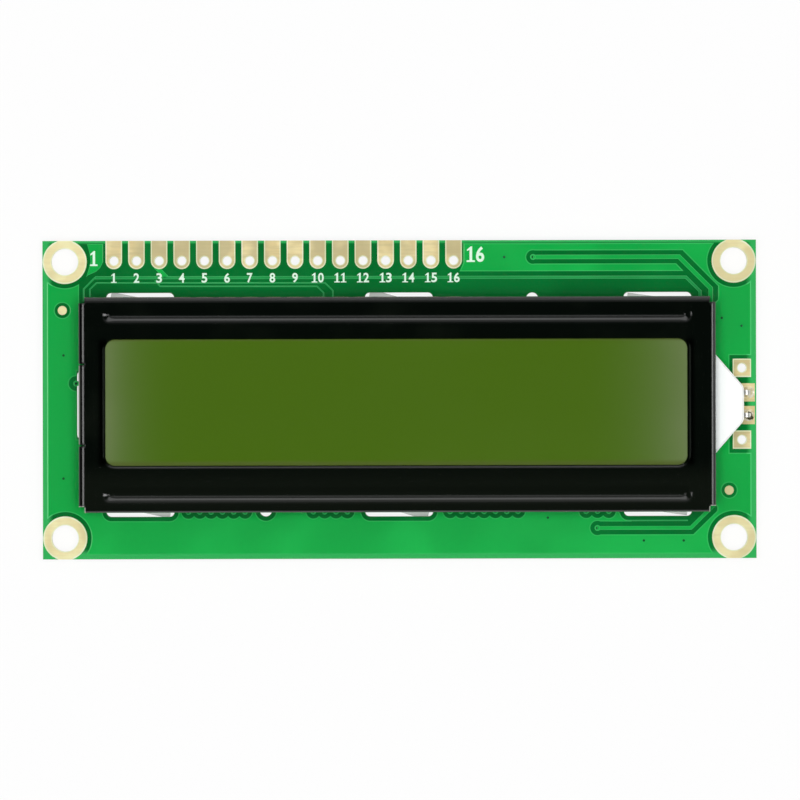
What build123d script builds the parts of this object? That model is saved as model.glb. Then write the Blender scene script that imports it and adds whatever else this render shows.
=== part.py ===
import math
import os

from build123d import *

# A character display module: a folded metal bezel clamps a glass cell, two contact strips and an
# edge-lit backlight onto a circuit board, and its tabs are twisted behind the board.
# Lengths are in millimetres and angles in degrees. The origin is the middle of the four mounting
# holes on the back of the board, with +X along the board, +Y towards the header row and +Z out of
# the display.

# Circuit board
board_length = 80.0
board_width = 35.7
board_thickness = 1.6
mounting_inset_x = 2.5
mounting_inset_y = 2.35
mounting_hole_diameter = 3.0
mounting_pad_diameter = 4.95
land_thickness = 0.05
ring_sides = 12
land_sides = 8

# Header row along the upper edge, counted from the left
header_count = 16
header_pitch = 2.54
header_side_inset = 8.0
header_edge_inset = 2.25
header_hole_diameter = 1.0
header_pad_width = 1.86

# Place of the display on the board
display_x = -0.25
display_y = -0.55
bezel_end_margin = 4.4
bezel_side_margin = 5.8

# Bezel
bezel_height = 7.0
sheet_thickness = 0.4
bend_radius = 0.25
corner_relief = 0.02
window_end_border = 3.1
window_side_border = 5.0
window_shift_x = -0.1
window_shift_y = 0.25
window_corner_radius = 1.1
window_lip = 0.25
groove_end_inset = 2.7
groove_side_inset = 2.0
groove_width = 1.75
groove_depth = 0.4
groove_slope = 30.0

# Tabs of the bezel and their slots in the board
tab_width = 6.7
tab_end_inset = 6.6
tab_shift = 0.2
tab_reach = 1.4
tab_twists = ((11.0, 16.0, 8.0), (12.0, 17.0, 8.0))
side_tab_fold = 0.55
side_tongue_width = 9.1
side_slit_width = 0.15
slot_end_gap = 0.45
slot_outer_gap = 0.5
side_slot_gap = 0.28
slot_inner_gap = 0.2
locating_hole_diameter = 1.35
locating_hole_spacing = 29.9

# Glass cell
glass_thickness = 1.1
glass_end_gap = 0.4
glass_side_gap = 0.3
cell_gap = 0.1
seal_width = 0.8
front_polarizer_thickness = 0.2
front_polarizer_inset = 1.1
polarizer_groove_gap = 0.4
rear_polarizer_thickness = 0.25

# Contact strips between the ledges of the front glass and the board
strip_width = 2.2
strip_end_inset = 2.5
strip_tray_gap = 0.2
strip_glass_gap = 0.3

# Backlight
tray_end_gap = 0.3
tray_wall = 1.0
tray_floor_thickness = 0.5
film_thickness = 0.1
film_gap = 0.1
nose_root_width = 11.15
nose_tip_width = 3.8
nose_drop = 0.5
nose_lift = 0.15
nose_corner_radius = 1.0
nose_bevel = 0.2
nose_gap = 0.25

# Lamp in the nose, its wires and their joints
led_depth = 2.4
led_width = 3.8
led_cover = 0.8
lead_size = 0.5
lead_pitch = 2.54
lead_height = 0.5
lead_bend_radius = 0.5
lead_edge_inset = 0.9
lead_standoff = 0.55
lead_tail = 1.1
lead_gap = 0.1
lead_hole_diameter = 1.0
lead_pad_length = 1.5
lead_pad_width = 2.05
lead_pad_edge_gap = 0.15
spare_pad_size = 2.05
spare_pad_spacing = 8.05
spare_edge_inset = 1.6
solder_foot_diameter = 1.6
solder_neck_diameter = 0.9
solder_height = 0.7

# Parts soldered and potted on the back of the board
controller_blob_diameter = 14.0
driver_blob_diameter = 12.5
blob_height = 1.15
blob_crown_height = 0.35
blob_shoulder_inset = 1.4
blob_crown_inset = 3.8
blob_sides = 24
controller_x = -13.0
driver_x = 14.5
blob_y = -1.5
resistor_length = 1.6
resistor_width = 0.8
resistor_height = 0.45
resistor_count = 7
resistor_pitch = 3.0
capacitor_length = 2.0
capacitor_width = 1.25
capacitor_height = 0.8
capacitor_spacing = 40.0
chip_row_inset = 2.35

# Sizes that follow from the board
mounting_spacing_x = board_length - 2 * mounting_inset_x
mounting_spacing_y = board_width - 2 * mounting_inset_y
bezel_length = board_length - 2 * bezel_end_margin
bezel_width = board_width - 2 * bezel_side_margin
fold_radius = bend_radius + sheet_thickness
corner_notch = fold_radius + corner_relief
window_length = bezel_length - 2 * window_end_border
window_width = bezel_width - 2 * window_side_border
groove_length = bezel_length - 2 * groove_end_inset
groove_y = bezel_width / 2 - groove_side_inset
groove_widening = sheet_thickness * math.tan(math.radians(groove_slope / 2))
tab_spacing = bezel_length / 2 - tab_end_inset
tab_columns = [tab_shift + column * tab_spacing for column in (-1, 0, 1)]
wall_middle_x = (bezel_length - sheet_thickness) / 2
wall_middle_y = (bezel_width - sheet_thickness) / 2
slot_length = tab_width + 2 * slot_end_gap
slot_width = sheet_thickness + slot_outer_gap + slot_inner_gap
slot_shift = (slot_outer_gap - slot_inner_gap) / 2
side_slot_width = sheet_thickness + side_slot_gap + slot_inner_gap
side_slot_shift = (side_slot_gap - slot_inner_gap) / 2
strip_inner_y = groove_y - strip_width / 2
front_glass_length = bezel_length - 2 * (sheet_thickness + glass_end_gap)
front_glass_width = bezel_width - 2 * (sheet_thickness + glass_side_gap)
rear_glass_width = 2 * (strip_inner_y - strip_glass_gap)
front_polarizer_width = 2 * (groove_y - groove_width / 2 - groove_widening - polarizer_groove_gap)
tray_length = bezel_length - 2 * (sheet_thickness + tray_end_gap)
tray_width = 2 * (strip_inner_y - strip_tray_gap)
cavity_length = tray_length - 2 * tray_wall
cavity_width = tray_width - 2 * tray_wall

# Heights above the back of the board
board_top = board_thickness
bezel_top = board_top + bezel_height
plate_under = bezel_top - sheet_thickness
front_glass_top = plate_under - groove_depth
front_glass_low = front_glass_top - glass_thickness
rear_glass_top = front_glass_low - cell_gap
rear_glass_low = rear_glass_top - glass_thickness
rear_polarizer_low = rear_glass_low - rear_polarizer_thickness
diffuser_low = rear_polarizer_low - film_thickness
tray_floor = board_top + tray_floor_thickness
reflector_top = tray_floor + film_thickness
nose_low = board_top + nose_lift
nose_top = rear_glass_low - nose_drop
led_top = nose_top - led_cover
lead_z = tray_floor + lead_height

# Places that several pieces share
mounting_points = [
    (side * mounting_spacing_x / 2, edge * mounting_spacing_y / 2) for side in (-1, 1) for edge in (-1, 1)
]
header_y = board_width / 2 - header_edge_inset
header_points = [
    (header_side_inset - board_length / 2 + pin * header_pitch, header_y) for pin in range(header_count)
]
lead_x = board_length / 2 - lead_edge_inset
lead_points = [(lead_x, display_y + side * lead_pitch / 2) for side in (1, -1)]
lead_pad_x = board_length / 2 - lead_pad_edge_gap - lead_pad_length / 2
spare_x = board_length / 2 - spare_edge_inset
spare_points = [(spare_x, display_y + side * spare_pad_spacing / 2) for side in (1, -1)]
led_x = cavity_length / 2 + film_gap
nose_tip_x = lead_x - lead_standoff - display_x
chip_row_y = display_y + bezel_width / 2 - sheet_thickness - chip_row_inset
display = Pos(display_x, display_y, 0)


def plate(length, width, low, high, x=0.0, y=0.0):
    block = Box(length, width, high - low, align=(Align.CENTER, Align.CENTER, Align.MIN))
    return Pos(x, y, low) * block


def drill(diameter, point):
    rod = Cylinder(diameter / 2, board_top, align=(Align.CENTER, Align.CENTER, Align.MIN))
    return Pos(*point, 0) * rod


def many_sided(diameter, sides):
    return RegularPolygon(diameter / 2, sides, major_radius=False, rotation=180 / sides)


def tiers(sides, levels):
    turns = [2 * math.pi * corner / sides for corner in range(sides)]
    loops = [
        [(diameter / 2 * math.cos(turn), diameter / 2 * math.sin(turn), z) for turn in turns]
        for diameter, z in levels
    ]
    faces = [Face(Wire.make_polygon(loop)) for loop in (loops[0], loops[-1])]
    for lower, upper in zip(loops, loops[1:]):
        for corner in range(sides):
            corners = [lower[corner - 1], lower[corner], upper[corner], upper[corner - 1]]
            faces.append(Face(Wire.make_polygon(corners)))
    return Solid(Shell(faces))


# Circuit board: the drilled holes are round, and the thin lands on them are many-sided

def tab_slots():
    across = extrude(SlotOverall(slot_length, slot_width), board_top)
    upright = extrude(Rot(0, 0, 90) * SlotOverall(slot_length, side_slot_width), board_top)
    slots = [display * Pos(-wall_middle_x - side_slot_shift, 0, 0) * upright]
    for edge in (1, -1):
        for column in tab_columns:
            place = Pos(column, edge * (wall_middle_y + slot_shift), 0)
            slots.append(display * place * across)
    return slots


def circuit_board():
    board = plate(board_length, board_width, 0, board_top)
    holes = [drill(mounting_hole_diameter, point) for point in mounting_points]
    holes += [drill(header_hole_diameter, point) for point in header_points]
    holes += [drill(lead_hole_diameter, point) for point in lead_points + spare_points]
    for side in (1, -1):
        point = (tab_shift + side * locating_hole_spacing / 2, side * wall_middle_y)
        holes.append(display * drill(locating_hole_diameter, point))
    return board - holes - tab_slots()


def mounting_pads():
    board_outline = Rectangle(board_length, board_width)
    ring = many_sided(mounting_pad_diameter, ring_sides) - many_sided(mounting_hole_diameter, ring_sides)
    pads = []
    for x, y in mounting_points:
        land = extrude(Pos(x, y, 0) * ring & board_outline, land_thickness)
        pads += [Pos(0, 0, board_top) * land, Pos(0, 0, -land_thickness) * land]
    return pads


def header_pads():
    finger = Rectangle(header_pad_width, header_edge_inset, align=(Align.CENTER, Align.MIN))
    finger += many_sided(header_pad_width, land_sides)
    finger -= many_sided(header_hole_diameter, land_sides)
    land = extrude(finger, land_thickness)
    return [Pos(x, y, board_top) * land for x, y in header_points]


def backlight_pads():
    hole = many_sided(lead_hole_diameter, land_sides)
    spare_land = extrude(Rectangle(spare_pad_size, spare_pad_size) - hole, land_thickness)
    lead_outline = Pos(lead_pad_x - lead_x, 0, 0) * Rectangle(lead_pad_length, lead_pad_width)
    lead_land = extrude(lead_outline - hole, land_thickness)
    pads = [Pos(x, y, board_top) * spare_land for x, y in spare_points]
    return pads + [Pos(x, y, board_top) * lead_land for x, y in lead_points]


# Bezel: one sheet, folded down on four sides, with open corners

def folded_cover(length, width, low, high, radius):
    block = plate(length, width, low, high)
    return fillet(block.faces().sort_by(Axis.Z)[-1].edges(), radius)


def groove_press(top, widening):
    outline = SlotOverall(groove_length + 2 * widening, groove_width + 2 * widening)
    return extrude(Pos(0, 0, top) * outline, groove_depth, dir=(0, 0, -1), taper=90 - groove_slope)


def twisted_tab(twist):
    section = Rectangle(tab_width, sheet_thickness)
    neck = plate(tab_width, sheet_thickness, 0, board_top + sheet_thickness)
    return neck + loft([section, Pos(0, 0, -tab_reach) * Rot(0, 0, -twist) * section], ruled=True)


def folded_tab():
    section = Rectangle(sheet_thickness, tab_width)
    neck = plate(sheet_thickness, tab_width, 0, board_top + sheet_thickness)
    return neck + loft([section, Pos(side_tab_fold, 0, -tab_reach) * section], ruled=True)


def bezel():
    inner_length = bezel_length - 2 * sheet_thickness
    inner_width = bezel_width - 2 * sheet_thickness
    sheet = folded_cover(bezel_length, bezel_width, board_top, bezel_top, fold_radius)
    sheet -= folded_cover(inner_length, inner_width, board_top, plate_under, bend_radius)
    for side in (-1, 1):
        for edge in (-1, 1):
            corner = Pos(side * bezel_length / 2, edge * bezel_width / 2, 0)
            sheet -= corner * plate(2 * corner_notch, 2 * corner_notch, board_top, bezel_top)

    opening = RectangleRounded(window_length, window_width, window_corner_radius)
    sheet -= Pos(window_shift_x, window_shift_y, plate_under) * extrude(opening, sheet_thickness)
    face = sheet.faces().filter_by(Axis.Z).sort_by(Axis.Z)[-1]
    sheet = chamfer(face.inner_wires()[0].edges(), window_lip)
    for edge in (-1, 1):
        place = Pos(0, edge * groove_y, 0)
        sheet += place * groove_press(plate_under, groove_widening)
        sheet -= place * groove_press(bezel_top, 0.0)

    nose_cut = plate(2 * fold_radius, nose_root_width + 2 * nose_gap, board_top, nose_top + nose_gap)
    sheet -= Pos(bezel_length / 2, 0, 0) * nose_cut
    slit = plate(2 * fold_radius, side_slit_width, board_top, bezel_top)
    for edge in (-1, 1):
        sheet -= Pos(-bezel_length / 2, edge * side_tongue_width / 2, 0) * slit

    for edge, twists in zip((1, -1), tab_twists):
        for column, twist in zip(tab_columns, twists):
            sheet += Pos(column, edge * wall_middle_y, 0) * twisted_tab(twist)
    sheet += Pos(-wall_middle_x, 0, 0) * folded_tab()
    return display * sheet


# Glass cell and contact strips

def front_polarizer():
    length = front_glass_length - 2 * front_polarizer_inset
    top = front_glass_top + front_polarizer_thickness
    return display * plate(length, front_polarizer_width, front_glass_top, top)


def front_glass():
    return display * plate(front_glass_length, front_glass_width, front_glass_low, front_glass_top)


def cell_seal():
    ring = Rectangle(front_glass_length, rear_glass_width)
    ring -= Rectangle(front_glass_length - 2 * seal_width, rear_glass_width - 2 * seal_width)
    return display * Pos(0, 0, rear_glass_top) * extrude(ring, cell_gap)


def rear_glass():
    return display * plate(front_glass_length, rear_glass_width, rear_glass_low, rear_glass_top)


def contact_strip(edge):
    length = front_glass_length - 2 * strip_end_inset
    return display * plate(length, strip_width, board_top, front_glass_low, 0, edge * groove_y)


# Backlight

def tray_sheet(low, high):
    return display * plate(cavity_length - 2 * film_gap, cavity_width - 2 * film_gap, low, high)


def nose():
    inner_x = cavity_length / 2
    root_x = bezel_length / 2
    half_root = nose_root_width / 2
    half_tip = nose_tip_width / 2
    outline = Polyline(
        (inner_x, -half_root),
        (root_x, -half_root),
        (nose_tip_x, -half_tip),
        (nose_tip_x, half_tip),
        (root_x, half_root),
        (inner_x, half_root),
        close=True,
    )
    body = extrude(Pos(0, 0, nose_low) * make_face(outline), nose_top - nose_low)
    tip_edges = body.edges().filter_by(Axis.Z).sort_by(Axis.X)[-2:]
    body = fillet(tip_edges, nose_corner_radius)
    rim = body.faces().sort_by(Axis.Z)[-1].edges()
    return chamfer([edge for edge in rim if edge.center().X > root_x], nose_bevel)


def lead_channel(y):
    start = led_x + led_depth
    opening = lead_size + 2 * lead_gap
    length = nose_tip_x - start
    low = lead_z - opening / 2
    return plate(length, opening, low, low + opening, start + length / 2, y - display_y)


def backlight_housing():
    tray = plate(tray_length, tray_width, board_top, rear_glass_low) + nose()
    tray -= plate(cavity_length, cavity_width, tray_floor, rear_glass_low)
    pocket_length = led_depth + 2 * film_gap
    pocket_x = (cavity_length + pocket_length) / 2
    tray -= plate(pocket_length, led_width + 2 * film_gap, tray_floor, led_top + film_gap, pocket_x, 0)
    tray -= [lead_channel(y) for _, y in lead_points]
    return display * tray


def led_emitter():
    return display * plate(led_depth, led_width, tray_floor, led_top, led_x + led_depth / 2, 0)


def lead(point):
    x, y = point
    route = FilletPolyline(
        (display_x + led_x + led_depth, y, lead_z),
        (x, y, lead_z),
        (x, y, -lead_tail),
        radius=lead_bend_radius,
    )
    section = Plane(origin=route @ 0, z_dir=route % 0) * Rectangle(lead_size, lead_size)
    return sweep(section, path=route)


def solder_joint(point):
    cone = tiers(land_sides, ((solder_neck_diameter, -solder_height), (solder_foot_diameter, 0)))
    return Pos(*point, 0) * cone - lead(point)


# Back of the board: two potted chips and a row of chip parts

def blob(diameter, x):
    levels = (
        (diameter - 2 * blob_crown_inset, -blob_height),
        (diameter - 2 * blob_shoulder_inset, blob_crown_height - blob_height),
        (diameter, 0),
    )
    return Pos(x, blob_y, 0) * tiers(blob_sides, levels)


def chip(length, width, height, x):
    return plate(length, width, -height, 0, x, chip_row_y)


def write(name, shapes):
    solids = [solid for shape in shapes for solid in shape.solids()]
    export_step(Compound(children=solids), f"parts/{name}.step")


os.makedirs("parts", exist_ok=True)
write("circuit_board", [circuit_board()])
write("mounting_pads", mounting_pads())
write("header_pads", header_pads())
write("backlight_pads", backlight_pads())
write("bezel", [bezel()])
write("front_polarizer", [front_polarizer()])
write("front_glass", [front_glass()])
write("cell_seal", [cell_seal()])
write("rear_glass", [rear_glass()])
write("rear_polarizer", [tray_sheet(rear_polarizer_low, rear_glass_low)])
write("contact_strip_upper", [contact_strip(1)])
write("contact_strip_lower", [contact_strip(-1)])
write("backlight_housing", [backlight_housing()])
write("diffuser_sheet", [tray_sheet(diffuser_low, rear_polarizer_low)])
write("light_guide", [tray_sheet(reflector_top, diffuser_low)])
write("reflector_sheet", [tray_sheet(tray_floor, reflector_top)])
write("led_emitter", [led_emitter()])
for name, point in zip(("anode", "cathode"), lead_points):
    write(f"{name}_lead", [lead(point)])
    write(f"{name}_solder", [solder_joint(point)])
write("controller_blob", [blob(controller_blob_diameter, controller_x)])
write("driver_blob", [blob(driver_blob_diameter, driver_x)])
for place in range(resistor_count):
    x = (place - (resistor_count - 1) / 2) * resistor_pitch
    write(f"chip_resistor_{place + 1}", [chip(resistor_length, resistor_width, resistor_height, x)])
for place, side in enumerate((-1, 1), 1):
    x = side * capacitor_spacing / 2
    write(f"chip_capacitor_{place}", [chip(capacitor_length, capacitor_width, capacitor_height, x)])
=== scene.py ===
import math
from itertools import product

import bmesh
import bpy
from mathutils import Matrix, Vector, geometry


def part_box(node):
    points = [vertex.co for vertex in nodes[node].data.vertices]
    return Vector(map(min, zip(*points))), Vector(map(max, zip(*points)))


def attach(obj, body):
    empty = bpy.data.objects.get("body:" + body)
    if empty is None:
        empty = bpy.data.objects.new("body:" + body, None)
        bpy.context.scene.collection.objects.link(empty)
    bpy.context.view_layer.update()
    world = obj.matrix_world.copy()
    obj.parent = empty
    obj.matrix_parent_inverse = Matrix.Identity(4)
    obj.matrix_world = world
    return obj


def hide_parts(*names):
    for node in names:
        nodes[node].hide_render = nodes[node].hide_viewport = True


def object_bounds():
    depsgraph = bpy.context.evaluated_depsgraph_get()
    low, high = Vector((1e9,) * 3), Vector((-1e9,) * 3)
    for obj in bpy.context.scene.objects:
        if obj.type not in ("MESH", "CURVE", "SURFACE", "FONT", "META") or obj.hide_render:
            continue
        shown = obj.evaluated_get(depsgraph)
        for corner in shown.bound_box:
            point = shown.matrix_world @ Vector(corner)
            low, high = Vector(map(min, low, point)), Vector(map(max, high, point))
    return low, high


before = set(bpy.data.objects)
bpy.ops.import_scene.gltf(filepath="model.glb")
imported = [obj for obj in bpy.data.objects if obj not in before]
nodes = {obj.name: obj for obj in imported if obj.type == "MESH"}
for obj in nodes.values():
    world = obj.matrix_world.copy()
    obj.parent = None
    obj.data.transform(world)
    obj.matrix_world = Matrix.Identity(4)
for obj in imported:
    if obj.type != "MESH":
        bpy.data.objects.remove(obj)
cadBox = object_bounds()
scene = bpy.context.scene
scene.view_settings.view_transform = "Standard"
mm = 0.001
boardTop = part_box("circuit_board")[1].z / mm
boardHalf = [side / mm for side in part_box("circuit_board")[1][:2]]


def middle(name):    # middle of a node in plan, in millimetres
    low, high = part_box(name)
    return [(low[axis] + high[axis]) / 2 / mm for axis in range(2)]


displayX, displayY = middle("front_glass")
print("frame loaded,", len(nodes), "nodes")


# shader maths, written as expressions on sockets
def operator(operation, swapped=False):
    def apply(first, second=0.0):
        return first.paint.math(operation, *((second, first) if swapped else (first, second)))
    return apply


class Field:
    def __init__(self, paint, socket):
        self.paint = paint
        self.socket = socket

    __add__ = __radd__ = operator("ADD")
    __mul__ = __rmul__ = operator("MULTIPLY")
    __sub__ = operator("SUBTRACT")
    __rsub__ = operator("SUBTRACT", swapped=True)
    __pow__ = operator("POWER")
    __abs__ = operator("ABSOLUTE")


def screenColour(value):    # red, green and blue as a screen shows them, 0 to 255; a field stays as it is
    if isinstance(value, Field):
        return value
    levels = [channel / 255 for channel in value]
    return (*[v / 12.92 if v <= 0.04045 else ((v + 0.055) / 1.055) ** 2.4 for v in levels], 1.0)


class Paint:
    def __init__(self, name, **sockets):
        self.material = bpy.data.materials.new(name)
        self.material.use_nodes = True
        self.tree = self.material.node_tree
        self.tree.nodes.clear()
        self.shader = self.tree.nodes.new("ShaderNodeBsdfPrincipled")
        output = self.tree.nodes.new("ShaderNodeOutputMaterial")
        self.tree.links.new(self.shader.outputs[0], output.inputs[0])
        self.place = Field(self, self.node("TexCoord").outputs["Object"])
        self.feed(**sockets)

    def put(self, socket, value):
        if isinstance(value, Field):
            self.tree.links.new(value.socket, socket)
        else:
            socket.default_value = value

    def feed(self, **sockets):
        for key, value in sockets.items():
            self.put(self.shader.inputs[key.replace("_", " ")], value)

    def coat(self, tone, grain, look):
        self.feed(Base_Color=tone, Roughness=look["smooth"] + grain * look["uneven"])

    def node(self, kind, settings=None, inputs=None):
        made = self.tree.nodes.new("ShaderNode" + kind)
        for key, value in (settings or {}).items():
            setattr(made, key, value)
        for key, value in (inputs or {}).items():
            self.put(made.inputs[key], value)
        return made

    def math(self, operation, first, second=0.0, clamp=False):
        made = self.node("Math", {"operation": operation, "use_clamp": clamp}, {0: first, 1: second})
        return Field(self, made.outputs[0])

    def mix(self, share, first, second):
        inputs = {0: share, 6: screenColour(first), 7: screenColour(second)}
        return Field(self, self.node("Mix", {"data_type": "RGBA"}, inputs).outputs[2])

    def step(self, value, low, high):    # 0 at low, 1 at high, eased between
        settings = {"interpolation_type": "SMOOTHSTEP"}
        made = self.node("MapRange", settings, {0: value, 1: low, 2: high})
        return Field(self, made.outputs[0])

    def axes(self):    # place on the part, in millimetres
        made = self.node("SeparateXYZ", None, {0: self.place})
        return [Field(self, out) * (1 / mm) for out in made.outputs]

    def facing(self):    # how far a face points up or down
        made = self.node("SeparateXYZ", None, {0: Field(self, self.node("TexCoord").outputs["Normal"])})
        return Field(self, made.outputs[2])

    def noise(self, size, detail, stretch=(1, 1, 1)):    # size of one patch, in millimetres
        scaled = self.node("Mapping", {"vector_type": "POINT"}, {"Vector": self.place, "Scale": stretch})
        inputs = {"Vector": Field(self, scaled.outputs[0]), "Scale": 1 / (size * mm), "Detail": detail}
        return Field(self, self.node("TexNoise", None, inputs).outputs[0])

    def bump(self, height, depth, rounding=0.0):    # depth and rounding in millimetres
        inputs = {"Height": height, "Distance": depth * mm, "Strength": 1.0}
        if rounding:
            soft = self.node("Bevel", {"samples": 6}, {"Radius": rounding * mm})
            inputs["Normal"] = Field(self, soft.outputs[0])
        self.feed(Normal=Field(self, self.node("Bump", None, inputs).outputs[0]))


# pieces, and the shapes they are made of
sides = {"small": 16, "finger": 20, "via": 24, "hole": 32, "plain": 40, "dome": 64, "ring": 72,
         "outline": 96}
merging = {"metres": 1e-7, "millimetres": 1e-5}


def addPiece(name, shape, finish, replaced=(), smooth=None):    # smooth: widest turn, in degrees
    mesh = bpy.data.meshes.new(name)
    shape.to_mesh(mesh)
    shape.free()
    mesh.materials.append(finishes[finish])
    if smooth:
        mesh.shade_smooth()
        mesh.set_sharp_from_angle(angle=math.radians(smooth))
    piece = bpy.data.objects.new(name, mesh)
    scene.collection.objects.link(piece)
    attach(piece, "root")
    if replaced:
        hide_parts(*replaced)


def each(make, places, *more):    # one shape at each place
    return [make(*place, *more) for place in places]


def joined(meshes):
    bm = bmesh.new()
    for mesh in meshes:
        if isinstance(mesh, bmesh.types.BMesh):
            source, mesh = mesh, bpy.data.meshes.new("part")
            source.to_mesh(mesh)
            source.free()
        bm.from_mesh(mesh)
        bpy.data.meshes.remove(mesh)
    return bm


def curveMesh(curve):
    holder = bpy.data.objects.new("holder", curve)
    scene.collection.objects.link(holder)
    bpy.context.view_layer.update()
    made = bpy.data.meshes.new_from_object(holder.evaluated_get(bpy.context.evaluated_depsgraph_get()))
    bpy.data.objects.remove(holder)
    bpy.data.curves.remove(curve)
    return made


def flatShape(outlines, low, high, rim=0.0):    # outlines in millimetres, filled, with holes left open
    curve = bpy.data.curves.new("outline", "CURVE")
    curve.dimensions = "2D"
    curve.fill_mode = "BOTH"
    curve.extrude = ((high - low) / 2 - rim) * mm
    curve.bevel_depth = rim * mm
    curve.bevel_resolution = 1
    curve.offset = -rim * mm
    for outline in outlines:
        spline = curve.splines.new("POLY")
        spline.points.add(len(outline) - 1)
        for point, (x, y) in zip(spline.points, outline):
            point.co = (x * mm, y * mm, 0, 1)
        spline.use_cyclic_u = True
    mesh = curveMesh(curve)
    mesh.transform(Matrix.Translation((0, 0, (low + high) / 2 * mm)))
    return mesh


def spunProfile(x, y, profile, steps):    # profile of (radius, height), turned about an upright axis
    bm = bmesh.new()
    corners = [bm.verts.new(((x + radius) * mm, y * mm, height * mm)) for radius, height in profile]
    edges = [bm.edges.new(pair) for pair in zip(corners, corners[1:] + corners[:1])]
    bmesh.ops.spin(bm, geom=corners + edges, cent=(x * mm, y * mm, 0), axis=(0, 0, 1), angle=math.tau,
                   steps=steps, use_merge=True)
    bmesh.ops.remove_doubles(bm, verts=bm.verts, dist=merging["metres"])
    bmesh.ops.recalc_face_normals(bm, faces=bm.faces)
    return bm


def disc(x, y, radius, low, high):
    bm = bmesh.new()
    place = Matrix.Translation((x * mm, y * mm, (low + high) / 2 * mm))
    bmesh.ops.create_cone(bm, cap_ends=True, segments=sides["small"], radius1=radius * mm,
                          radius2=radius * mm, depth=(high - low) * mm, matrix=place)
    return bm


def hullSolid(corners):
    bm = bmesh.new()
    for corner in corners:
        bm.verts.new([side * mm for side in corner])
    bmesh.ops.convex_hull(bm, input=bm.verts)
    bmesh.ops.recalc_face_normals(bm, faces=bm.faces)
    return bm


# outlines, in millimetres
def arc(x, y, radius, start, end, count):
    turns = [math.radians(start + (end - start) * k / count) for k in range(count)]
    return [(x + radius * math.cos(turn), y + radius * math.sin(turn)) for turn in turns]


def circle(x, y, radius, count=sides["plain"]):
    return arc(x, y, radius, 0, 360, count)


def ringOutlines(x, y, outer, inner, count):
    return [circle(x, y, radius, count) for radius in (outer, inner)]


def box(x, y, length, width):
    signs = ((-1, -1), (1, -1), (1, 1), (-1, 1))
    return [(x + signX * length / 2, y + signY * width / 2) for signX, signY in signs]


def roundedBar(x, y, length, width):
    radius = width / 2
    half = length / 2 - radius
    right = arc(x + half, y, radius, -90, 90, sides["small"])
    return right + arc(x - half, y, radius, 90, 270, sides["small"])


# camera, straight above as in the photograph; its centre is in millimetres
viewpoint = {"distance": 1.7, "across": 0.0897, "centre": (0.06, -0.055), "roll": -0.12, "sensor": 36,
             "near": 0.01}
cameraData = bpy.data.cameras.new("camera")
cameraData.sensor_width = viewpoint["sensor"]
cameraData.lens = viewpoint["sensor"] * viewpoint["distance"] / viewpoint["across"]
cameraData.clip_start = viewpoint["near"]
camera = bpy.data.objects.new("camera", cameraData)
scene.collection.objects.link(camera)
camera.location = (*[side * mm for side in viewpoint["centre"]], boardTop * mm + viewpoint["distance"])
camera.rotation_euler = (0, 0, math.radians(viewpoint["roll"]))
scene.camera = camera

# wide soft lights from above for the colours, and reflectors that only shine along the folds
softLights = {
    "overheadKey": {"at": (0.0, -0.02, 0.80), "size": (0.24, 0.24), "power": 4.6},
    "overheadDiffuser": {"at": (0.0, 0.0, 0.80), "size": (1.00, 1.00), "power": 3.0},
}
reflectors = {
    "upperReflectorHorizon": {"at": (0.0, 0.618, 0.054), "size": (0.90, 0.152), "power": 0.62},
    "upperReflectorLow": {"at": (0.0, 0.588, 0.197), "size": (0.90, 0.130), "power": 0.12},
    "upperReflectorMain": {"at": (0.0, 0.537, 0.310), "size": (0.90, 0.109), "power": 0.60},
    "upperReflectorHigh": {"at": (0.0, 0.441, 0.436), "size": (0.90, 0.208), "power": 0.34},
    "upperReflectorFaint": {"at": (0.0, 0.252, 0.566), "size": (0.90, 0.264), "power": 0.22},
    "leftReflector": {"at": (-0.33, 0.0, 0.572), "size": (0.20, 0.26), "power": 0.90},
    "rightReflector": {"at": (0.52, 0.0, 0.41), "size": (0.20, 0.26), "power": 1.05},
}
for name, lamp in {**softLights, **reflectors}.items():
    lightData = bpy.data.lights.new(name, "AREA")
    lightData.shape = "RECTANGLE"
    lightData.size, lightData.size_y = lamp["size"]
    lightData.energy = lamp["power"]
    light = bpy.data.objects.new(name, lightData)
    scene.collection.objects.link(light)
    light.location = lamp["at"]
    light.visible_glossy = name in reflectors
    light.visible_diffuse = name in softLights
    light.rotation_euler = (-Vector(lamp["at"])).to_track_quat("-Z", "Y").to_euler()

surroundings = {"colour": (0.95, 0.97, 1.0, 1), "strength": 0.03}
world = bpy.data.worlds.new("surroundings")
scene.world = world
world.use_nodes = True
background = world.node_tree.nodes["Background"].inputs
background["Color"].default_value = surroundings["colour"]
background["Strength"].default_value = surroundings["strength"]

floorSet = {"side": 3.0, "paint": (0.9, 0.9, 0.9, 1), "rough": 0.8, "glow": (1, 1, 1, 1), "white": 0.86}
floorPaint = Paint("floorWhite", Base_Color=floorSet["paint"], Roughness=floorSet["rough"])
tree = floorPaint.tree
glow = floorPaint.node("Emission", None, {"Color": floorSet["glow"], "Strength": 1.0})
rays = floorPaint.node("LightPath").outputs
seen = [Field(floorPaint, rays[key]) for key in ("Is Camera Ray", "Is Glossy Ray", "Is Transmission Ray")]
shown = floorPaint.math("MINIMUM", seen[0] + seen[1] + seen[2], 1.0)
blendNode = floorPaint.node("MixShader", None, {0: shown * floorSet["white"]})
tree.links.new(floorPaint.shader.outputs[0], blendNode.inputs[1])
tree.links.new(glow.outputs[0], blendNode.inputs[2])
tree.links.new(blendNode.outputs[0], tree.nodes["Material Output"].inputs[0])
floorMesh = bmesh.new()
bmesh.ops.create_grid(floorMesh, x_segments=1, y_segments=1, size=floorSet["side"] / 2)
floorData = bpy.data.meshes.new("floor")
floorMesh.to_mesh(floorData)
floorMesh.free()
floorData.transform(Matrix.Translation((0, 0, cadBox[0][2])))
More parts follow.
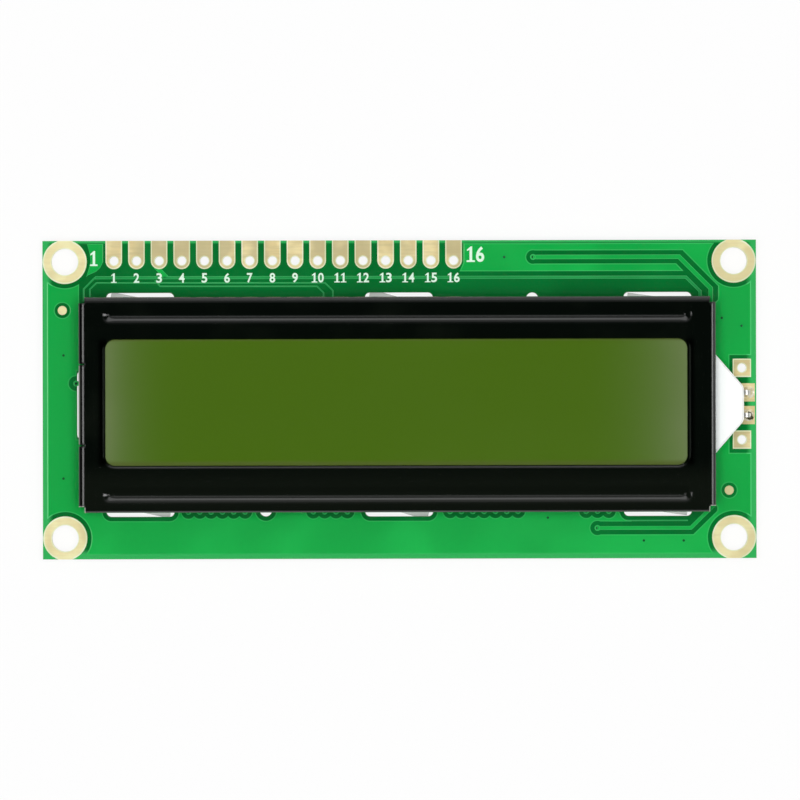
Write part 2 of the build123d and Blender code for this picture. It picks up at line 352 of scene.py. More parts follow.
floorData.materials.append(floorPaint.material)
floor = bpy.data.objects.new("floor", floorData)
scene.collection.objects.link(floor)
print("camera, lamps and floor set")


# finishes: roughness runs up from smooth by uneven, and pairs are the two ends of an eased step
def boardMask():
    look = {"bare": (0, 114, 44), "deep": (0, 102, 38), "patches": (0.35, 0.65),
            "edge": (50, 177, 90), "edgeShare": 0.9, "edgeBand": (1.2, 0.45), "upperBand": (0.42, 0.12),
            "laminate": (178, 186, 120), "fibre": (120, 140, 70), "flat": (0.4, 0.6),
            "smooth": 0.08, "uneven": 0.06}
    paint = Paint("boardMask", Specular_IOR_Level=0.15)
    x, y = paint.axes()[:2]
    weave = paint.noise(size=0.5, detail=3)
    cloudy = paint.noise(size=14, detail=2)
    tone = paint.mix(paint.step(cloudy, *look["patches"]), look["deep"], look["bare"])
    ends, lower = [[half - inset for inset in look["edgeBand"]] for half in boardHalf]
    upper = [boardHalf[1] - inset for inset in look["upperBand"]]
    band = paint.math("MAXIMUM", paint.step(abs(x), *ends), paint.step(0 - y, *lower))
    band = paint.math("MAXIMUM", band, paint.step(y, *upper))
    tone = paint.mix(band * look["edgeShare"], tone, look["edge"])
    fibres = paint.noise(size=0.12, detail=2, stretch=(0.2, 0.2, 3.0))
    cut = paint.mix(fibres, look["laminate"], look["fibre"])
    flat = paint.step(abs(paint.facing()), *look["flat"])
    paint.coat(paint.mix(flat, cut, tone), weave, look)
    paint.bump(weave, depth=0.004, rounding=0.06)
    return paint.material


def copperMask(name, light, dark):
    look = {"rim": (96, 212, 134), "share": 0.3, "more": 0.6, "ends": (38.8, 39.1),
            "duller": (35.2, 36.4), "patches": (0.35, 0.68), "slope": (0.965, 0.995),
            "smooth": 0.08, "uneven": 0.06}
    paint = Paint(name, Specular_IOR_Level=0.15)
    cloudy = paint.noise(size=9, detail=2)
    grain = paint.noise(size=0.3, detail=3)
    x = paint.axes()[0]
    dull = paint.step(abs(x), *look["duller"])
    tone = paint.mix(paint.step(cloudy, *look["patches"]) * (1 - dull), dark, light)
    # painted highlight: the sloped edges of the copper get the lighter rim colour, more strongly near the
    # board's left and right ends
    slope = 1 - paint.step(abs(paint.facing()), *look["slope"])
    share = look["share"] + paint.step(abs(x), *look["ends"]) * look["more"]
    paint.coat(paint.mix(slope * share, tone, look["rim"]), grain, look)
    paint.bump(grain, depth=0.004)
    return paint.material


def goldPlate(name, pale, warm, dull):
    look = {"patches": (0.35, 0.65), "stains": (0.44, 0.58), "stained": 0.75, "streaks": (0.3, 0.8),
            "streaked": 0.45, "smooth": 0.36, "uneven": 0.2}
    paint = Paint(name, Metallic=0.25)
    streak = paint.noise(size=0.5, detail=3, stretch=(0.15, 1.6, 1.0))
    patch = paint.noise(size=1.9, detail=2)
    broad = paint.noise(size=5.5, detail=2)
    tone = paint.mix(paint.step(patch, *look["patches"]), warm, pale)
    tone = paint.mix(paint.step(broad, *look["stains"]) * look["stained"], tone, dull)
    tone = paint.mix(paint.step(streak, *look["streaks"]) * look["streaked"], tone, dull)
    paint.coat(tone, streak, look)
    paint.bump(streak, depth=0.006)
    return paint.material


def blackBezel():
    look = {"black": (2, 6, 3), "wearAndHighlight": (11, 16, 10), "rubs": (0.45, 0.75), "rubShare": 0.6,
            "lower": (-6, -9), "cut": (176, 180, 172), "tongueHighlight": (112, 118, 108), "smooth": 0.05,
            "uneven": 0.04, "wall": 0.2, "upright": (0.1, 0.4), "peel": 0.0008, "rounding": 0.32}
    tabs = {"steel": (228, 230, 228), "metal": 0.3, "below": (boardTop - 0.3, boardTop - 0.1)}
    corner = {"x": 34.95, "y": -11.95, "near": 0.07, "far": 0.15, "past": 0.1}
    window = {"x": -0.35, "y": displayY + 0.25, "inner": (32.2, 32.5), "outer": (33.6, 32.9),
              "halfY": (7.4, 6.6), "matt": 0.9}
    grooves = {"walls": (8.97, -11.13), "half": 0.42, "round": 0.24, "ends": (32.8, 31.4)}
    fold = {"x": (35.0, 35.2), "half": (4.45, 4.35), "top": (8.42, 8.36), "foot": (7.7, 7.85),
            "end": (34.8, 35.0), "turned": (0.93, 0.85), "matt": 0.9}
    paint = Paint("blackBezel", Specular_IOR_Level=0.5)
    x, y, z = paint.axes()
    peel = paint.noise(size=0.35, detail=3)
    rub = paint.noise(size=6.0, detail=4)
    across = abs(x - displayX)
    level = abs(paint.facing())
    # scuffs on the front and a lighter tone towards the bottom, painted glints at the lower corners and a
    # painted highlight along the fold of the left tongue
    # besides the random scuffs, the bezel is lighter towards its bottom edge
    lower = paint.step(y, *[displayY + place for place in look["lower"]])
    scuffsAndLighterBottom = paint.math("MAXIMUM", paint.step(rub, *look["rubs"]) * look["rubShare"], lower)
    tone = paint.mix(scuffsAndLighterBottom, look["black"], look["wearAndHighlight"])
    # painted glints: the light grey cut colour laid in thin lines on the folds at the lower corners
    paintedCornerGlints = [(1 - paint.step(abs(y - corner["y"]), corner["near"], corner["far"]))
             * paint.step(across, corner["x"], corner["x"] + corner["past"]),
             (1 - paint.step(abs(across - corner["x"]), corner["near"], corner["far"]))
             * paint.step(0 - y, -corner["y"], corner["past"] - corner["y"])]
    tone = paint.mix(paint.math("MAXIMUM", *paintedCornerGlints), tone, look["cut"])
    # painted highlight: a light grey line along the top of the left fold over the tongue
    wearAndHighlight = paint.step(0 - x, *fold["x"]) * paint.step(abs(y - displayY), *fold["half"])
    wearAndHighlight = wearAndHighlight * paint.step(z, *fold["top"]) * paint.step(z, *fold["foot"])
    tone = paint.mix(wearAndHighlight, tone, look["tongueHighlight"])
    # bare steel on the tabs, and no mirror on the window's side lips or the left fold
    bare = 1 - paint.step(z, *tabs["below"])
    beside = abs(x - window["x"])
    lip = paint.step(beside, *window["inner"]) * paint.step(beside, *window["outer"])
    lip = lip * paint.step(abs(y - window["y"]), *window["halfY"]) * window["matt"]
    outer = paint.step(displayX - x, *fold["end"]) * paint.step(level, *fold["turned"]) * fold["matt"]
    wall = 1 - paint.step(level, *look["upright"])
    paint.feed(Base_Color=paint.mix(bare, tone, tabs["steel"]),
               Metallic=paint.math("MAXIMUM", bare * tabs["metal"], lip + outer),
               Roughness=look["smooth"] + rub * look["uneven"] + wall * look["wall"])
    # the edges of the pressed grooves are rounded over
    height = peel * look["peel"]
    inside = paint.step(across, *grooves["ends"])
    for place in grooves["walls"]:
        off = paint.math("MINIMUM", abs(y - place), grooves["half"])
        height = height - off * off * inside * grooves["round"]
    paint.bump(height, depth=1.0, rounding=look["rounding"])
    return paint.material


def displayFilm():
    look = {"olive": (66, 99, 4), "paintedReflection": (106, 121, 80), "start": 19.0, "reach": 14.0,
            "fall": 3.0, "leftFall": 2.4, "left": (1.0, -1.0),
            "cloud": (72, 102, 18), "clouds": (0.4, 0.7), "cloudShare": 0.2,
            "edge": (78, 90, 36), "edgeShare": 0.75, "lower": (-6.1, -6.6), "upper": (7.0, 7.25),
            "smooth": 0.12, "uneven": 0.06}
    paint = Paint("displayFilm", Specular_IOR_Level=0.12)
    x, y = paint.axes()[:2]
    # painted reflection: the film turns paler towards its left and right ends, rising more slowly on the
    # left
    reach = paint.math("MULTIPLY", abs(x - displayX) - look["start"], 1 / look["reach"], clamp=True)
    cloud = paint.noise(size=16, detail=2, stretch=(1, 1.5, 1))
    left = paint.step(x, *look["left"])
    tone = paint.mix(reach ** (look["fall"] + left * look["leftFall"]), look["olive"], look["paintedReflection"])
    tone = paint.mix(paint.step(cloud, *look["clouds"]) * look["cloudShare"], tone, look["cloud"])
    # painted shade: a greyer band along the top and bottom edges of the window
    edges = paint.math("MAXIMUM", *[paint.step(y - displayY, *look[side]) for side in ("lower", "upper")])
    paint.coat(paint.mix(edges * look["edgeShare"], tone, look["edge"]), cloud, look)
    return paint.material


def whiteHousing():
    look = {"white": (246, 248, 245), "paintedCoolShade": (232, 240, 240), "paintedCoolShadeShare": 0.8, "root": 37.5,
            "reach": 2.4, "warm": (250, 250, 244), "warmShare": 0.2, "smooth": 0.42, "uneven": 0.1}
    # painted light: the housing glows faintly through its emission
    paint = Paint("whiteHousing", Specular_IOR_Level=0.4, Emission_Color=(1, 1, 1, 1),
                  Emission_Strength=0.1)
    x = paint.axes()[0]
    cloud = paint.noise(size=3, detail=2)
    # painted shade: a cooler white on the part of the nose towards the bezel
    paintedCoolShade = paint.step(look["root"] - x, 0.0, look["reach"])
    tone = paint.mix(paintedCoolShade * look["paintedCoolShadeShare"], look["white"], look["paintedCoolShade"])
    paint.coat(paint.mix(cloud * look["warmShare"], tone, look["warm"]), cloud, look)
    paint.bump(paint.noise(size=0.2, detail=2), depth=0.003, rounding=0.08)
    return paint.material


def brightTin(name, tone, shade, smooth):
    paint = Paint(name, Metallic=0.7)
    grain = paint.noise(size=0.4, detail=3)
    paint.coat(paint.mix(grain, tone, shade), grain, {"smooth": smooth, "uneven": 0.14})
    paint.bump(grain, depth=0.008)
    return paint.material


def roughSolder():
    look = {"pale": (252, 246, 226), "warm": (228, 212, 168), "patches": (0.4, 0.6),
            "darkSpot": (64, 58, 38), "darkSpots": (0.56, 0.6), "smooth": 0.16, "uneven": 0.14}
    paint = Paint("roughSolder", Metallic=0.25)
    grain = paint.noise(size=0.45, detail=2)
    # dark spots scattered at random over the solder
    darkSpots = paint.step(paint.noise(size=0.8, detail=2), *look["darkSpots"])
    tone = paint.mix(paint.step(grain, *look["patches"]), look["pale"], look["warm"])
    paint.coat(paint.mix(darkSpots, tone, look["darkSpot"]), grain, look)
    paint.bump(grain, depth=0.05)
    return paint.material


def plainPaint(name, first, second, smooth, size=1.0):
    paint = Paint(name)
    grain = paint.noise(size, detail=3)
    paint.coat(paint.mix(grain, first, second), grain, {"smooth": smooth, "uneven": 0.12})
    paint.bump(grain, depth=0.003)
    return paint.material


finishes = {
    "mask": boardMask(),
    "copper": copperMask("copperMask", (20, 177, 73), (12, 163, 64)),
    "thinCopper": copperMask("thinCopperMask", (34, 154, 76), (26, 144, 68)),
    "gold": goldPlate("goldPlate", (244, 228, 172), (228, 208, 150), (190, 178, 132)),
    "ring": goldPlate("ringPlate", (246, 240, 186), (238, 226, 170), (222, 210, 156)),
    # paler gold for the painted highlights along the lands' edges and around their holes
    "goldHighlight": goldPlate("goldHighlight", (244, 250, 224), (234, 242, 204), (222, 232, 190)),
    "bezel": blackBezel(),
    "film": displayFilm(),
    "housing": whiteHousing(),
    "wire": brightTin("tinnedWire", (224, 224, 218), (186, 186, 180), 0.22),
    "solder": brightTin("softSolder", (236, 236, 230), (196, 196, 190), 0.16),
    "frontSolder": roughSolder(),
    "ink": plainPaint("whiteInk", (228, 248, 232), (208, 238, 218), 0.55, 0.2),
    "resin": plainPaint("pottingResin", (20, 20, 21), (30, 30, 30), 0.28, 2.5),
    "hole": plainPaint("viaHole", (0, 58, 24), (0, 72, 32), 0.2),
    "rubber": plainPaint("contactRubber", (60, 52, 54), (84, 70, 72), 0.6),
    "seal": plainPaint("sealResin", (176, 176, 168), (150, 150, 144), 0.5),
    "rearFilm": plainPaint("rearFilm", (176, 182, 160), (160, 168, 148), 0.3),
    "white": plainPaint("whiteFilm", (244, 244, 242), (232, 232, 230), 0.5),
    "guide": plainPaint("lightGuide", (232, 240, 236), (220, 230, 226), 0.15),
    "lamp": plainPaint("lampBody", (226, 230, 180), (210, 216, 160), 0.25),
    "chip": plainPaint("chipBody", (24, 24, 26), (36, 36, 38), 0.3, 0.3),
    "tan": plainPaint("capacitorBody", (176, 146, 108), (160, 130, 94), 0.4, 0.3),
    "glass": plainPaint("cellGlass", (208, 226, 214), (196, 216, 204), 0.06),
}
nodeFinish = {
    "circuit_board": "mask", "bezel": "bezel", "front_polarizer": "film", "front_glass": "glass",
    "rear_glass": "glass", "cell_seal": "seal", "rear_polarizer": "rearFilm",
    "contact_strip_upper": "rubber", "contact_strip_lower": "rubber", "backlight_housing": "housing",
    "diffuser_sheet": "white", "reflector_sheet": "white", "light_guide": "guide", "led_emitter": "lamp",
    "anode_lead": "wire", "cathode_lead": "wire", "anode_solder": "solder", "cathode_solder": "solder",
    "mounting_pads": "gold", "header_pads": "gold", "backlight_pads": "gold",
    "controller_blob": "resin", "driver_blob": "resin",
}
for name, node in nodes.items():
    kind = nodeFinish.get(name, "chip" if "resistor" in name else "tan")
    node.data.materials.clear()
    node.data.materials.append(finishes[kind])
print("finishes set")

# copper under the mask, seen as lighter green: the pour around the bezel and its clearances
pour = {
    "rise": 0.035, "shoulder": 0.12,
    "outer": [(-39.5, -17.33), (39.45, -17.33), (39.45, 17.5), (-39.5, 17.5)],
    "under": [(-34.8, -11.1), (34.3, -11.1), (34.3, 10.5), (-34.8, 10.5)],
    "ringPlaces": [(x, y) for x in (-37.5, 37.5) for y in (-15.5, 15.5)], "ringClearance": 2.95,
    "bareTop": [(-35.9, 10.0), (-35.9, 18.4), (7.2, 18.4), (7.2, 15.35), (6.76, 14.35), (32.6, 14.35),
                (34.3, 12.2), (34.3, 9.9)],
    "upperGap": [(15.0, 16.68), (31.77, 16.68), (35.75, 12.65), (35.75, 11.15), (35.2, 10.6), (35.2, 9.9),
                 (33.7, 9.9), (33.7, 12.43), (31.05, 15.22), (15.0, 15.22)],
    "lowerGap": [(24.53, -11.0), (24.53, -12.55), (25.15, -13.39), (26.04, -13.72), (22.17, -13.72),
                 (22.17, -15.17), (32.93, -15.17), (35.62, -12.53), (35.62, -12.1), (35.2, -11.65),
                 (35.2, -11.0)],
    "backlightGap": [(37.0, displayY - 5.5), (39.6, displayY - 5.5), (39.6, displayY + 5.45),
                     (37.0, displayY + 5.45)],
    "slots": [(-29.05, -12.55), (-0.05, -12.55), (28.95, -12.55)], "slotClearance": (8.55, 2.1),
    "sideSlot": (-35.80, displayY, 0.78, 7.7),
    "antipads": [(15.0, 15.95, 0.76), (22.17, -14.45, 0.80), (-36.26, 1.87, 0.82), (-37.78, 10.06, 0.85),
                 (36.95, -10.24, 0.85), (-15.0, -12.40, 1.17)],
    "viaRows": [(-23.69, 6), (-9.68, 4), (5.65, 7), (20.91, 3)], "viaRowY": -12.55, "viaPitch": 1.27,
    "viaClearance": 0.78,
}
rowVias = [(start + k * pour["viaPitch"], pour["viaRowY"])
           for start, count in pour["viaRows"] for k in range(count)]
bends = {"track": 0.3, "edge": 0.45, "doubledBack": 0.01, "shortest": 0.004, "upright": 0.25}


def leftOf(run):
    return Vector((-run.y, run.x))


def strip(points, width):    # a track's outline along a bent line, with square ends
    left, right = [], []
    for k, point in enumerate(points):
        here = Vector(point)
        before = (here - Vector(points[k - 1])).normalized() if k else None
        after = (Vector(points[k + 1]) - here).normalized() if k < len(points) - 1 else None
        side = leftOf(((before or after) + (after or before)).normalized())
        reach = width / 2 / max(bends["track"], side.dot(leftOf(after or before)))
        left.append(tuple(here + side * reach))
        right.append(tuple(here - side * reach))
    return left + right[::-1]


def turning(outline):    # above zero when the outline turns left
    return sum(x0 * y1 - x1 * y0 for (x0, y0), (x1, y1) in zip(outline, outline[1:] + outline[:1]))


def leftTurning(outline):
    return outline if turning(outline) > 0 else outline[::-1]


def triangulated(loops):    # corners and triangles of left-turning loops, with the loops that hold each
    corners, faces = [], []
    for loop in loops:
        faces.append(list(range(len(corners), len(corners) + len(loop))))
        corners += [Vector(point) for point in loop]
    result = geometry.delaunay_2d_cdt(corners, [], faces, 0, merging["millimetres"], True)
    points, triangles, owners = result[0], result[2], result[5]
    return points, [(list(triangle), set(owner)) for triangle, owner in zip(triangles, owners)]


def boundaryLoops(triangles):    # closed loops around the triangles, which lie to their left
    edges = {pair for triangle in triangles for pair in zip(triangle, triangle[1:] + triangle[:1])}
    follow = {}
    for first, second in sorted(edges):
        if (second, first) not in edges:
            follow.setdefault(first, []).append(second)
    loops = []
    while follow:
        here, loop = next(iter(follow)), []
        while here in follow:
            loop.append(here)
            ahead = follow[here].pop()
            if not follow[here]:
                del follow[here]
            here = ahead
        loops.append(loop)
    return loops


def withoutShortEdges(loop):
    return [point for k, point in enumerate(loop) if (point - loop[k - 1]).length > bends["shortest"]]


def drawnIn(loop, width):    # a loop moved to its left, with its sharp corners kept short
    moved = []
    for k, here in enumerate(loop):
        before = leftOf((here - loop[k - 1]).normalized())
        after = leftOf((loop[(k + 1) % len(loop)] - here).normalized())
        both = (before + after).normalized() if (before + after).length > bends["doubledBack"] else before
        moved.append(here + both * width / max(bends["edge"], both.dot(before)))
    return moved


def copperSheet(outer, cutters, low, high, shoulder):    # the mask slopes down at the copper's edges
    points, triangles = triangulated([leftTurning(shape) for shape in [outer] + cutters])
    kept = [triangle for triangle, owners in triangles if owners == {0}]
    edges = [withoutShortEdges([points[corner] for corner in loop]) for loop in boundaryLoops(kept)]
    edges = [loop for loop in edges if len(loop) > 2]
    crests = [drawnIn(loop, shoulder) for loop in edges]
    islands = {k for k, crest in enumerate(crests) if turning(crest) > 0}
    tops, flats = triangulated([leftTurning(crest) for crest in crests])
    bm = bmesh.new()
    upward = high > low

    def corner(point, z):
        return bm.verts.new((point[0] * mm, point[1] * mm, z * mm))

    def face(corners):
        bm.faces.new(corners if upward else corners[::-1])

    topCorners = [corner(point, high) for point in tops]
    for triangle, owners in flats:
        if len(owners & islands) == 1 and not owners - islands:
            face([topCorners[place] for place in triangle])
    for loop, crest in zip(edges, crests):
        lines = ((loop, low), (loop, low + (high - low) * bends["upright"]), (crest, high))
        rows = [[corner(point, z) for point in line] for line, z in lines]
        for k in range(len(loop)):
            for under, over in zip(rows, rows[1:]):
                face([under[k - 1], under[k], over[k], over[k - 1]])
    bmesh.ops.delete(bm, geom=[vert for vert in bm.verts if not vert.link_faces], context="VERTS")
    bmesh.ops.remove_doubles(bm, verts=bm.verts, dist=merging["metres"])
    return bm


def frontGaps():
    gaps = [pour[key] for key in ("under", "bareTop", "upperGap", "lowerGap", "backlightGap")]
    gaps += each(circle, pour["ringPlaces"], pour["ringClearance"], sides["ring"])
    gaps += each(circle, pour["antipads"]) + each(circle, rowVias, pour["viaClearance"], sides["hole"])
    return gaps + each(roundedBar, pour["slots"], *pour["slotClearance"]) + [box(*pour["sideSlot"])]


frontPour = copperSheet(pour["outer"], frontGaps(), boardTop, boardTop + pour["rise"], pour["shoulder"])
addPiece("frontPour", frontPour, "copper")
print("front pour cut")

tracks = {
    "rise": 0.035, "shoulder": 0.05,
    "patch": [(-35.0, 17.5), (-33.2, 17.5), (-33.2, 15.5), (-33.55, 14.8), (-34.0, 14.4), (-34.9, 14.0),
              (-35.1, 13.8), (-34.85, 14.6), (-34.6, 15.5), (-34.7, 16.4)],
    "runs": [
        ([(15.0, 15.95), (31.37, 15.95), (34.92, 12.4), (34.92, 10.5)], 0.5),
        ([(-27.3, 14.95), (-26.1, 13.75)], 0.5),
        ([(22.17, -14.45), (32.65, -14.45), (35.24, -11.9), (35.45, -11.69)], 0.42),
    ],
    "thinRuns": [
        ([(-34.1, 13.72), (32.15, 13.66), (33.72, 12.09), (33.72, 10.5)], 0.33),
        ([(-35.39, 11.06), (-35.38, 12.46), (-34.1, 13.74)], 0.18),
        ([(-34.7, 11.2), (-34.7, 12.43), (-33.95, 13.14), (-8.32, 13.10), (-7.45, 12.25),
          (-7.45, 11.2)], 0.16),
        ([(-27.4, 13.4), (-26.8, 12.75), (-9.22, 12.71), (-8.49, 12.0), (-8.49, 11.2)], 0.16),
        ([(25.4, -13.62), (32.3, -13.62)], 0.14),
    ],
}


def trackSheets(outlines, low, rise):
    return joined([copperSheet(outline, [], low, low + rise, tracks["shoulder"]) for outline in outlines])


frontTracks = trackSheets(each(strip, tracks["runs"]) + [tracks["patch"]], boardTop, tracks["rise"])
addPiece("frontTracks", frontTracks, "copper")
frontThinTracks = trackSheets(each(strip, tracks["thinRuns"]), boardTop, tracks["rise"])
addPiece("frontThinTracks", frontThinTracks, "thinCopper")

# vias: a raised ring with a dark hole, on both faces, and dark dots in the mask
vias = {"rise": 0.045, "outer": 0.33, "inner": 0.15, "slope": 0.06, "lip": 0.03, "plug": 0.008,
        "alone": [(15.0, 15.95), (22.17, -14.45), (-36.26, 1.87)]}
viaPlaces = vias["alone"] + rowVias


def viaRing(x, y, base, rise):
    profile = [(vias["inner"], base), (vias["outer"], base), (vias["outer"] - vias["slope"], base + rise),
               (vias["inner"] + vias["lip"], base + rise)]
    return spunProfile(x, y, profile, sides["via"])


rings = each(viaRing, viaPlaces, boardTop, vias["rise"]) + each(viaRing, viaPlaces, 0, -vias["rise"])
addPiece("viaRings", joined(rings), "copper", smooth=40)
dots = {"radius": 0.14, "rise": 0.04,
        "places": [(-37.66, 5.02), (-37.69, -8.79), (36.16, 9.08), (38.37, 8.19), (11.78, 15.95),
                   (16.61, -13.28), (27.37, -15.86), (31.84, -15.87)]}
holeDiscs = each(disc, viaPlaces, vias["inner"], boardTop, boardTop + vias["plug"])
holeDiscs += each(disc, viaPlaces, vias["inner"], -vias["plug"], 0)
holeDiscs += each(disc, dots["places"], dots["radius"], boardTop, boardTop + dots["rise"])
addPiece("viaHoles", joined(holeDiscs), "hole")
print("tracks and vias made")

# gold lands
eyelets = {"hole": 1.5, "wall": 0.012, "outer": 2.475, "land": 0.05, "round": 0.02}


def eyelet(x, y):    # cut off at the board's edge
    hole, outer, land, rim = [eyelets[key] for key in ("hole", "outer", "land", "round")]
    bore, top = hole - eyelets["wall"], boardTop + land
    profile = [(bore, -land), (outer - rim, -land), (outer, -land + rim), (outer, 0), (hole, 0),
               (hole, boardTop), (outer, boardTop), (outer, top - rim), (outer - rim, top), (bore, top)]
    bm = spunProfile(x, y, profile, sides["ring"])
    outward = math.copysign(1, y)
    everything = bm.verts[:] + bm.edges[:] + bm.faces[:]
    bmesh.ops.bisect_plane(bm, geom=everything, plane_co=(0, outward * boardHalf[1] * mm, 0),
                           plane_no=(0, outward, 0), clear_outer=True)
    bmesh.ops.holes_fill(bm, edges=[edge for edge in bm.edges if edge.is_boundary], sides=0)
    bmesh.ops.recalc_face_normals(bm, faces=bm.faces)
    return bm


eyeletMeshes = each(eyelet, pour["ringPlaces"])
addPiece("mountingEyelets", joined(eyeletMeshes), "ring", ("mounting_pads",), smooth=35)

header = {"count": 16, "first": -32.0, "pitch": 2.54, "row": boardHalf[1] - 2.25, "width": 1.86,
          "hole": 1.0, "land": 0.05, "rim": 0.015, "wall": 0.01, "backRing": 0.9, "backRim": 0.02}
headerPlaces = [(header["first"] + k * header["pitch"], header["row"]) for k in range(header["count"])]
landTop = boardTop + header["land"]


def barrel(x, y, hole, backRing):
    bore, land, rim = hole / 2 - header["wall"], header["land"], header["backRim"]
    profile = [(bore, -land), (backRing - rim, -land), (backRing, -land + rim), (backRing, 0),
               (hole / 2, 0), (hole / 2, landTop), (bore, landTop)]
    return spunProfile(x, y, profile, sides["hole"])


def finger(x, y):
    half, edge = header["width"] / 2, boardHalf[1]
    outline = arc(x, y, half, 180, 360, sides["finger"])
    outline += [(x + half, y), (x + half, edge), (x - half, edge)]
    hole = circle(x, y, header["hole"] / 2, sides["hole"])
    return flatShape([outline, hole], boardTop, landTop, header["rim"])


headerMeshes = each(finger, headerPlaces) + each(barrel, headerPlaces, header["hole"], header["backRing"])
addPiece("headerLands", joined(headerMeshes), "gold", ("header_pads",), smooth=35)

lampPads = {"x": 39.1, "length": 1.5, "width": 2.05, "spareX": 38.4, "spareStep": 4.025, "spare": 2.05,
            "hole": 1.0, "backRing": 0.8}
leadPlaces = [middle("anode_solder"), middle("cathode_solder")]
sparePlaces = [(lampPads["spareX"], displayY + side * lampPads["spareStep"]) for side in (1, -1)]


def squarePad(holeX, y, x, length, width):
    hole = circle(holeX, y, lampPads["hole"] / 2, sides["hole"])
    return flatShape([box(x, y, length, width), hole], boardTop, landTop, header["rim"])


padMeshes = each(squarePad, leadPlaces, lampPads["x"], lampPads["length"], lampPads["width"])
padMeshes += each(squarePad, sparePlaces, lampPads["spareX"], lampPads["spare"], lampPads["spare"])
padMeshes += each(barrel, leadPlaces + sparePlaces, lampPads["hole"], lampPads["backRing"])
addPiece("backlightLands", joined(padMeshes), "gold", ("backlight_pads",), smooth=35)

# painted highlights: thin sheets of paler gold along the edges of the lands and around their holes
paintedLandHighlight = {"width": 0.12, "inset": 0.015, "holeWidth": 0.07, "eyelet": (0.02, 0.15), "degreesClear": 1,
           "low": landTop - 0.01, "high": landTop + 0.005}


def fingerHighlight(x, y):
    outer, inner = [header["width"] / 2 - paintedLandHighlight[key] for key in ("inset", "width")]
    edge = boardHalf[1]
    right = [(x + outer, y), (x + outer, edge), (x + inner, edge), (x + inner, y)]
    left = [(x - inner, y), (x - inner, edge), (x - outer, edge)]
    outerArc = arc(x, y, outer, 180, 360, sides["via"])
    return [outerArc + right + arc(x, y, inner, 360, 180, sides["via"]) + left]


def squareHighlight(x, y, side):
    return [box(x, y, width, width) for width in (side, side - 2 * paintedLandHighlight["width"])]


def eyeletHighlight(x, y):
    outer, inner = [eyelets["outer"] - inset for inset in paintedLandHighlight["eyelet"]]
    turn = math.degrees(math.acos((boardHalf[1] - abs(y)) / eyelets["outer"])) + paintedLandHighlight["degreesClear"]
    start = math.copysign(90, y) + turn
    end = start + 360 - 2 * turn
    return [arc(x, y, outer, start, end, sides["ring"]) + arc(x, y, inner, end, start, sides["ring"])]


def holeHighlight(x, y, radius, count):
    return ringOutlines(x, y, radius + paintedLandHighlight["holeWidth"], radius, count)


highlightOutlines = each(fingerHighlight, headerPlaces) + each(eyeletHighlight, pour["ringPlaces"])
highlightOutlines += each(squareHighlight, sparePlaces, lampPads["spare"])
highlightOutlines += each(holeHighlight, headerPlaces + sparePlaces, header["hole"] / 2, sides["plain"])
highlightOutlines += each(holeHighlight, pour["ringPlaces"], eyelets["hole"], sides["ring"])
# the painted highlight sheets sit just above the lands
highlightSheets = [flatShape(outlines, paintedLandHighlight["low"], paintedLandHighlight["high"]) for outlines in highlightOutlines]
addPiece("paintedLandHighlights", joined(highlightSheets), "goldHighlight")

targets = {"radius": 0.515, "rim": 0.02, "land": 0.05, "places": [(-37.78, 10.06), (36.95, -10.24)]}
targetTop = boardTop + targets["land"]
targetProfile = [(0.0, boardTop), (targets["radius"], boardTop),
                 (targets["radius"] - targets["rim"], targetTop), (0.0, targetTop)]
targetDiscs = each(spunProfile, targets["places"], targetProfile, sides["hole"])
addPiece("alignmentTargets", joined(targetDiscs), "ring", smooth=35)
print("gold lands made")

# white ink: plain pin numbers
ink = {"thick": 0.03, "bold": 0.05, "size": 2, "row": 13.68, "height": 1.08, "digit": 0.72, "share": 0.88,
       "large": [("1", -34.24, 15.88, 0.95, 1.68), ("16", 8.55, 16.28, 1.05, 1.75)],
       "one": [(0.1, 0), (0.9, 0), (0.9, 0.1), (0.64, 0.12), (0.64, 1), (0.5, 1), (0.14, 0.8), (0.14, 0.7),
               (0.38, 0.78), (0.38, 0.12), (0.1, 0.1)]}
inkLow = boardTop + tracks["rise"]


def inkDigit(digit, x, y, width, height, low, turned):
    if digit == "1":
        mesh = flatShape([ink["one"]], 0, ink["thick"])
    else:
        curve = bpy.data.curves.new("digit", "FONT")
        curve.body = digit
        curve.extrude = ink["thick"] / 2 * mm
        curve.size = ink["size"] * mm
        curve.offset = ink["bold"] * mm
        mesh = curveMesh(curve)
    corners = [vert.co for vert in mesh.vertices]
    lowest, highest = [Vector([pick(corner[axis] for corner in corners) for axis in range(3)])
                       for pick in (min, max)]
    spanX, spanY = [highest[axis] - lowest[axis] for axis in range(2)]
    scale = Matrix.Diagonal((turned * width * mm / spanX, height * mm / spanY, turned, 1))
    centre = (lowest + highest) / 2
    mesh.transform(Matrix.Translation((x * mm, y * mm, low * mm)) @ scale @ Matrix.Translation(-centre))
    return mesh


def inkNumber(text, x, y, width, height, low, turned=1):    # width of one digit; turned is -1 on the back
    starts = [(k - (len(text) - 1) / 2) * width * turned for k in range(len(text))]
    return [inkDigit(digit, x + start, y, width * ink["share"], height, low, turned)
            for digit, start in zip(text, starts)]


numbers = []
for text, x, y, width, height in ink["large"]:
    numbers += inkNumber(text, x, y, width, height, inkLow)
for k, (x, _) in enumerate(headerPlaces):
    numbers += inkNumber(str(k + 1), x, ink["row"], ink["digit"], ink["height"], inkLow)
addPiece("pinNumbers", joined(numbers), "ink")
print("pin numbers printed")

# solder on the lamp's wires, drawn up around them on both faces
joint = {"front": [(0.70, 0.0), (0.52, 0.10), (0.42, 0.26), (0.37, 0.42), (0.22, 0.50)],
         "back": [(0.79, 0.0), (0.58, 0.10), (0.44, 0.28), (0.38, 0.50), (0.33, 0.66), (0.20, 0.70)]}


